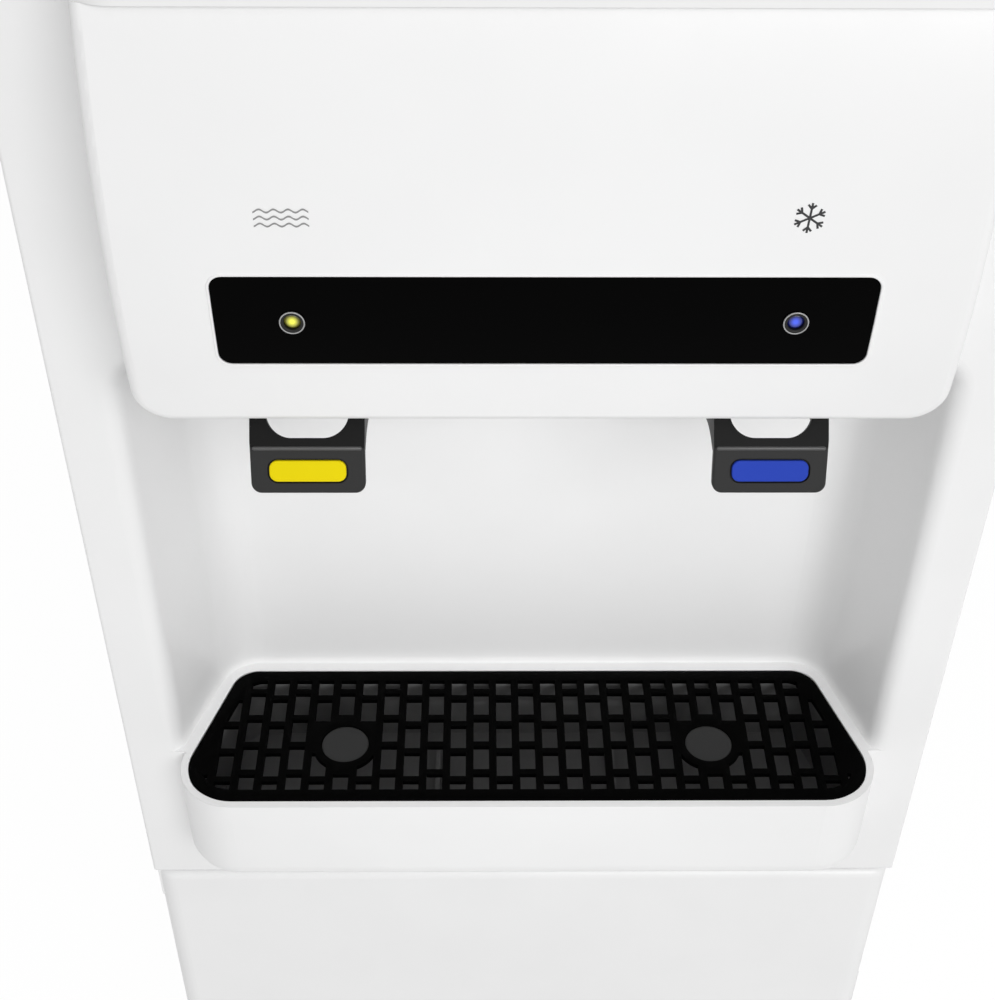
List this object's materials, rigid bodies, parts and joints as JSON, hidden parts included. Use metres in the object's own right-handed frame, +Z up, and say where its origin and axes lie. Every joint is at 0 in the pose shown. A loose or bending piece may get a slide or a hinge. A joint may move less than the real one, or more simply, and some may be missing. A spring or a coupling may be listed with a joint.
{
  "type": "bottom load water cooler",
  "caption": "Tall white water cooler with an alcove, fork levers over a drip grate, a bowed head panel and a door over the bottle space.",
  "frame": {"origin": "middle of the footprint, on the floor under the feet", "axes": "+X to the right as seen from the front, +Y to the back, +Z up"},
  "size_m": [0.31, 0.382, 1.04],
  "materials": {
    "white_plastic": "satin moulded plastic",
    "white_inner": "matt moulded plastic",
    "white_steel": "satin powder coat",
    "grey_steel": "matt powder coat",
    "black_gloss": "polished",
    "black_tray": "fine grained",
    "lever_grey": "fine grained",
    "pad_yellow": "satin",
    "pad_blue": "satin",
    "lens_yellow": "polished lens",
    "lens_blue": "polished lens",
    "ring_grey": "satin",
    "spring_steel": "drawn wire",
    "stainless": "drawn",
    "zinc_steel": "zinc coated sheet",
    "black_steel": "satin paint",
    "copper": "drawn copper",
    "foam": "cellular foam",
    "rubber_black": "matt",
    "tube_clear": "translucent silicone",
    "part_black": "moulded",
    "part_grey": "moulded",
    "board_green": "solder mask",
    "rocker_red": "satin"
  },
  "bodies": {
    "cabinet": {"base_pan": "zinc_steel", "bottle_floor": "part_grey", "bottle_liner": "white_inner", "cold_light": "lens_blue", "cold_line": "tube_clear", "cold_tank": "stainless", "compressor": "black_steel", "compressor_mounts": "rubber_black", "condenser_clips": "part_black", "condenser_coil": "black_steel", "condenser_wires": "black_steel", "control_board": "board_green", "display_strip": "black_gloss", "door_magnet": "white_inner", "drain_spigot": "part_grey", "evaporator_coil": "copper", "feet": "rubber_black", "filter_drier": "copper", "foam_lid": "foam", "front_frame": "white_plastic", "head_panel": "white_plastic", "hose_gland": "rubber_black", "led_bezels": "ring_grey", "left_side_panel": "white_steel", "lever_pins": "spring_steel", "lever_springs": "spring_steel", "lever_switches": "part_black", "lower_hinge": "zinc_steel", "machine_shelf": "zinc_steel", "power_inlet": "part_black", "power_switch": "part_black", "probe_holder": "white_inner", "rear_panel": "grey_steel", "rear_screws": "zinc_steel", "right_side_panel": "white_steel", "room_light": "lens_yellow", "room_line": "tube_clear", "spouts": "white_inner", "suction_probe": "white_inner", "tank_foam": "foam", "tank_lid": "white_inner", "top_cover": "white_plastic", "upper_hinge": "zinc_steel", "water_pump": "part_black", "water_valves": "part_black"},
    "door": {"door_panel": "white_plastic", "door_liner": "white_inner", "door_strike": "zinc_steel"},
    "room_lever": {"room_lever": "lever_grey", "room_lever_pad": "pad_yellow"},
    "cold_lever": {"cold_lever": "lever_grey", "cold_lever_pad": "pad_blue"},
    "drip_pan": {"drip_pan": "black_tray"},
    "drip_grate": {"drip_grate": "black_tray"},
    "power_rocker": {"power_rocker": "rocker_red"}
  },
  "joints": [
    {"name": "door_hinge", "type": "hinge", "parent": "cabinet", "child": "door", "pos_m": [-0.147, -0.143, 0.34], "axis": [0, 0, -1], "range_deg": [0, 110]},
    {"name": "room_lever_press", "type": "hinge", "parent": "cabinet", "child": "room_lever", "pos_m": [-0.071, -0.168, 0.915], "axis": [1, 0, 0], "range_deg": [0, 9], "stiffness_Nm_per_rad": 0.3, "springref_deg": -2.86},
    {"name": "cold_lever_press", "type": "hinge", "parent": "cabinet", "child": "cold_lever", "pos_m": [0.071, -0.168, 0.915], "axis": [1, 0, 0], "range_deg": [0, 9], "stiffness_Nm_per_rad": 0.3, "springref_deg": -2.86},
    {"name": "pan_lift", "type": "slide", "parent": "cabinet", "child": "drip_pan", "axis": [0, 0, 1], "range_m": [0, 0.036]},
    {"name": "grate_lift", "type": "slide", "parent": "drip_pan", "child": "drip_grate", "axis": [0, 0, 1], "range_m": [0, 0.03]},
    {"name": "rocker_tip", "type": "hinge", "parent": "cabinet", "child": "power_rocker", "pos_m": [-0.118, 0.1723, 0.905], "axis": [1, 0, 0], "range_deg": [0, 16]}
  ]
}
